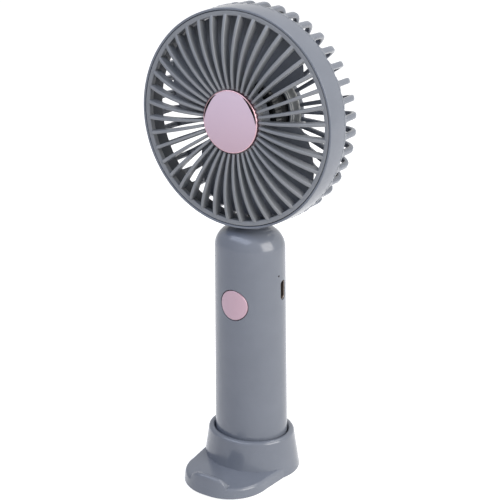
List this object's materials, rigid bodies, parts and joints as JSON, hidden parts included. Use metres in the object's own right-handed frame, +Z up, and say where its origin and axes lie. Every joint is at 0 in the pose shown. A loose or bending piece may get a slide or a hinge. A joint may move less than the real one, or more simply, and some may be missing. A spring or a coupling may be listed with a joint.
{
  "type": "rechargeable table fan",
  "caption": "Hand fan with a round ribbed head on an oval handle, standing in a dock whose foot and lip hold a phone.",
  "frame": {"origin": "on the table, under the middle of the part's box", "axes": "+Z up, the fan blows towards -Y, and the USB slot is on the +X side"},
  "size_m": [0.1004, 0.0616, 0.2257],
  "materials": {
    "grey_shell": "satin moulded",
    "grey_inner": "satin moulded",
    "pink_trim": "satin pearl",
    "black_plastic": "matte moulded",
    "black_metal": "satin black",
    "steel": "plated",
    "copper": "copper",
    "brass": "sintered bronze",
    "board_green": "solder mask",
    "cell_wrap": "shrink wrap",
    "clear_plastic": "clear",
    "rubber": "matte"
  },
  "bodies": {
    "dock": {"dock_body": "grey_shell", "dock_plate": "grey_inner", "dock_pads": "rubber"},
    "fan": {"rear_cage": "grey_shell", "front_grille": "grey_shell", "centre_cap": "pink_trim", "motor_can": "black_metal", "magnet_ring": "black_metal", "motor_end_cap": "black_plastic", "motor_brushes": "copper", "motor_bushes": "brass", "motor_leads": "black_plastic", "neck_nut": "steel", "handle_body": "grey_shell", "inner_carrier": "grey_inner", "battery_cell": "cell_wrap", "battery_tabs": "steel", "battery_leads": "black_plastic", "circuit_board": "board_green", "board_components": "black_plastic", "board_screws": "steel", "tact_switch": "black_plastic", "usb_socket": "steel", "usb_tongue": "black_plastic", "charge_led": "clear_plastic", "light_pipe": "clear_plastic", "handle_end_cap": "grey_shell", "end_cap_screws": "steel"},
    "rotor": {"impeller": "grey_inner", "motor_shaft": "steel", "armature": "copper", "commutator": "copper"},
    "button": {"power_button": "pink_trim", "switch_stem": "clear_plastic"}
  },
  "joints": [
    {"name": "fan_lift", "type": "slide", "parent": "dock", "child": "fan", "axis": [0, 0, 1], "range_m": [0, 0.06]},
    {"name": "impeller_spin", "type": "hinge", "parent": "fan", "child": "rotor", "pos_m": [0, 0.00949, 0.1755], "axis": [0, 1, 0], "continuous": true},
    {"name": "button_press", "type": "slide", "parent": "fan", "child": "button", "axis": [0, 1, 0], "range_m": [0, 0.0006], "stiffness_N_per_m": 2500}
  ]
}
